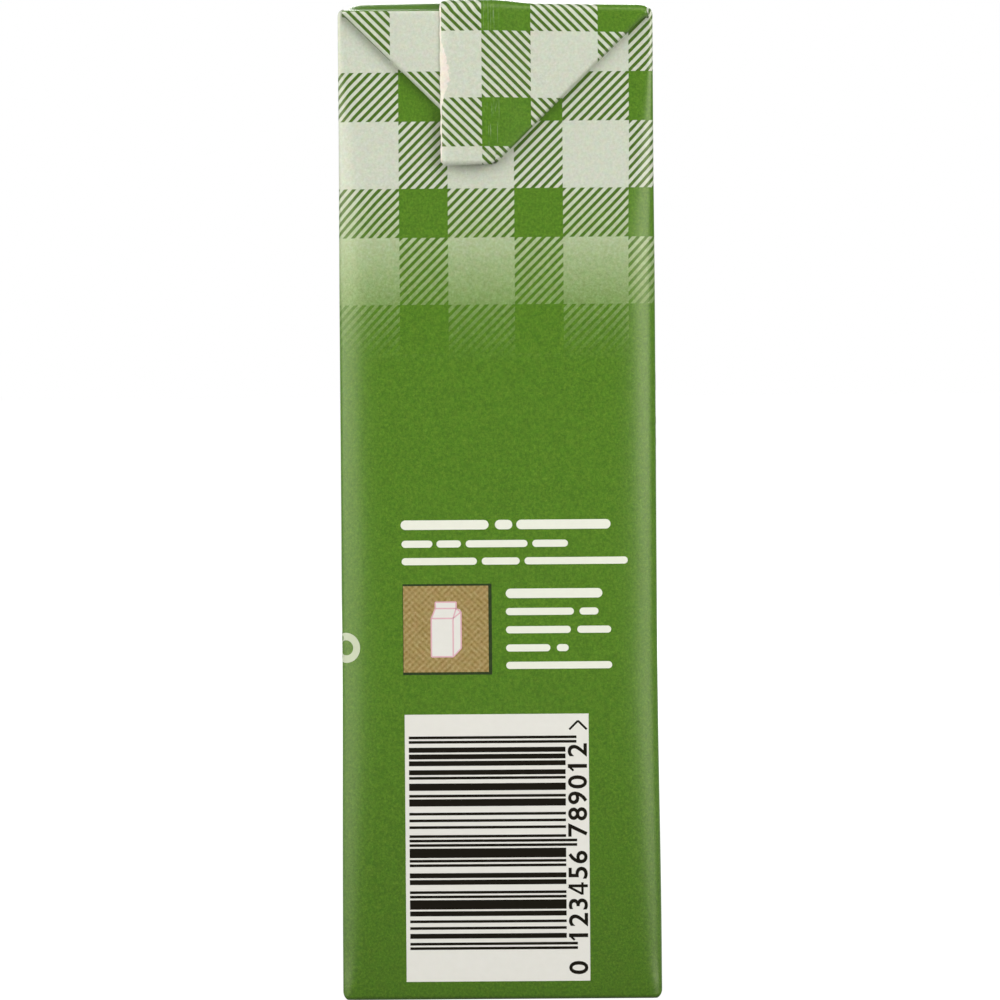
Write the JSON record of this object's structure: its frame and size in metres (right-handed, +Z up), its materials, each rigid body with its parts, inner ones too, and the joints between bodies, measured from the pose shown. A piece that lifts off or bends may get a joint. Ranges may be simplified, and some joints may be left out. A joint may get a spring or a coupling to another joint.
{
  "type": "sauce carton",
  "caption": "Sealed brick-shaped carton of cooking sauce, standing upright, with folded corner ears and a flat seal fin over its roof.",
  "frame": {"origin": "middle of the foot, on the surface the carton stands on", "axes": "+Z up, along the carton's height; the narrow sides face -Y and +Y; the wide panels face -X and +X"},
  "size_m": [0.04, 0.064, 0.1265],
  "materials": {
    "printed_board": "printed board under a thin satin film"
  },
  "bodies": {
    "root": {"carton": "printed_board"}
  },
  "joints": []
}
